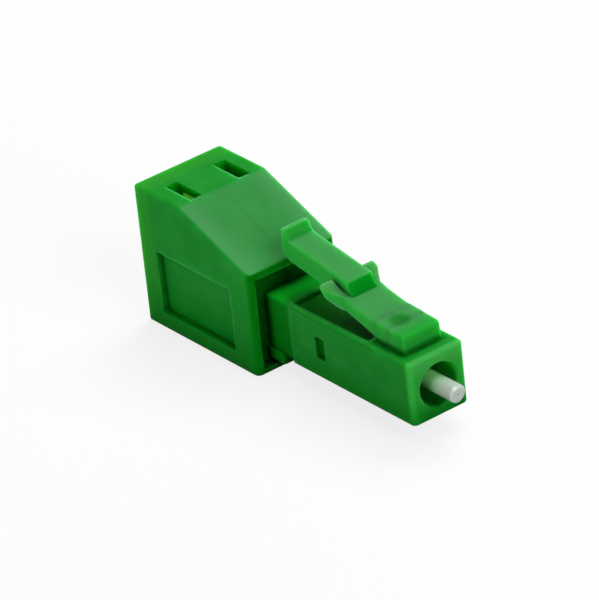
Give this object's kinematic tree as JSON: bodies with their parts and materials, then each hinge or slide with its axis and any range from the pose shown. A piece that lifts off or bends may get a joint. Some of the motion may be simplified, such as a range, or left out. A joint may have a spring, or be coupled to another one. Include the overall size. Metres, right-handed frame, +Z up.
{
  "type": "fibre attenuator",
  "caption": "Plug-in fibre attenuator: a square latching plug with a sprung white ceramic ferrule in front, and a wedge-topped socket for the next plug behind.",
  "frame": {"origin": "on the optical axis, at the plug's nose face", "axes": "+X out of the plug's nose along the optical axis, +Z up through the latch, +Y across"},
  "size_m": [0.028, 0.0074, 0.0103],
  "materials": {
    "shell_plastic": "satin green moulding",
    "green_plastic": "satin green moulding",
    "inner_plastic": "satin green moulding",
    "white_ceramic": "ground and polished",
    "sleeve_ceramic": "ground",
    "fibre_glass": "polished end",
    "plated_metal": "bright plated",
    "spring_steel": "drawn wire"
  },
  "bodies": {
    "housing": {"shell": "shell_plastic", "plug_body": "green_plastic", "backstop": "inner_plastic", "sleeve_holder": "inner_plastic", "split_sleeve": "sleeve_ceramic", "ferrule_spring": "spring_steel"},
    "latch": {"latch_lever": "green_plastic"},
    "ferrule_set": {"ferrule": "white_ceramic", "ferrule_collar": "plated_metal", "attenuating_fibre": "fibre_glass"}
  },
  "joints": [
    {"name": "latch_press", "type": "hinge", "parent": "housing", "child": "latch", "pos_m": [-0.00374, 0, 0.00301], "axis": [0, -1, 0], "range_deg": [0, 11], "stiffness_Nm_per_rad": 0.06},
    {"name": "ferrule_float", "type": "slide", "parent": "housing", "child": "ferrule_set", "axis": [-1, 0, 0], "range_m": [0, 0.0006], "stiffness_N_per_m": 2000, "springref_m": -0.002, "deforming": ["ferrule_spring"]}
  ]
}
